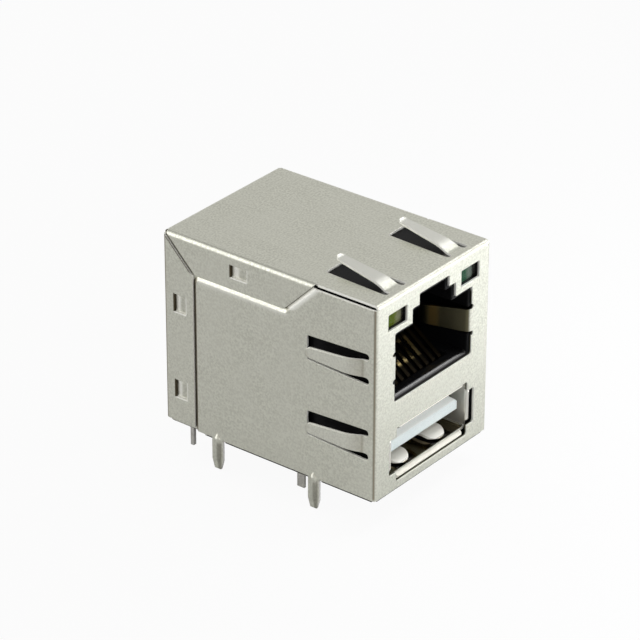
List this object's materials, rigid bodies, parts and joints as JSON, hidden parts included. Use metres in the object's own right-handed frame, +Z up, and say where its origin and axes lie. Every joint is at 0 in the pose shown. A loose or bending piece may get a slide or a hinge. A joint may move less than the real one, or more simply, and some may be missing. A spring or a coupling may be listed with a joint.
{
  "type": "stacked network and usb jack",
  "caption": "Shielded board jack with a modular network port stacked over a flat serial bus port, in a folded plated sheet shield with spring fingers, lights and board legs.",
  "frame": {"origin": "on the board's top face, below the middle of the shield's width and depth", "axes": "+X to the right seen from the front, +Y from the front face to the rear panel, +Z up from the board"},
  "size_m": [0.0204, 0.0266, 0.0267],
  "materials": {
    "plated_sheet": "satin nickel-plated sheet with a fine rolled grain",
    "plated_shell": "brighter plated sheet",
    "black_moulding": "fine matt moulded",
    "black_carrier": "fine matt moulded",
    "gilt_contact": "thin bright gilding",
    "left_light": "translucent yellow-green moulded resin",
    "right_light": "translucent blue-green moulded resin",
    "tinned_lead": "dull tinned wire",
    "pale_moulding": "smooth pale blue-white moulded"
  },
  "bodies": {
    "root": {"shield": "plated_sheet", "housing": "black_moulding", "contact_insert": "black_carrier", "net_contact_1": "gilt_contact", "net_contact_2": "gilt_contact", "net_contact_3": "gilt_contact", "net_contact_4": "gilt_contact", "net_contact_5": "gilt_contact", "net_contact_6": "gilt_contact", "net_contact_7": "gilt_contact", "net_contact_8": "gilt_contact", "led_left": "left_light", "led_right": "right_light", "led_left_lead_outer": "tinned_lead", "led_left_lead_inner": "tinned_lead", "led_right_lead_inner": "tinned_lead", "led_right_lead_outer": "tinned_lead", "usb_shell": "plated_shell", "usb_tongue": "pale_moulding", "usb_contact_1": "gilt_contact", "usb_contact_2": "gilt_contact", "usb_contact_3": "gilt_contact", "usb_contact_4": "gilt_contact"}
  },
  "joints": []
}
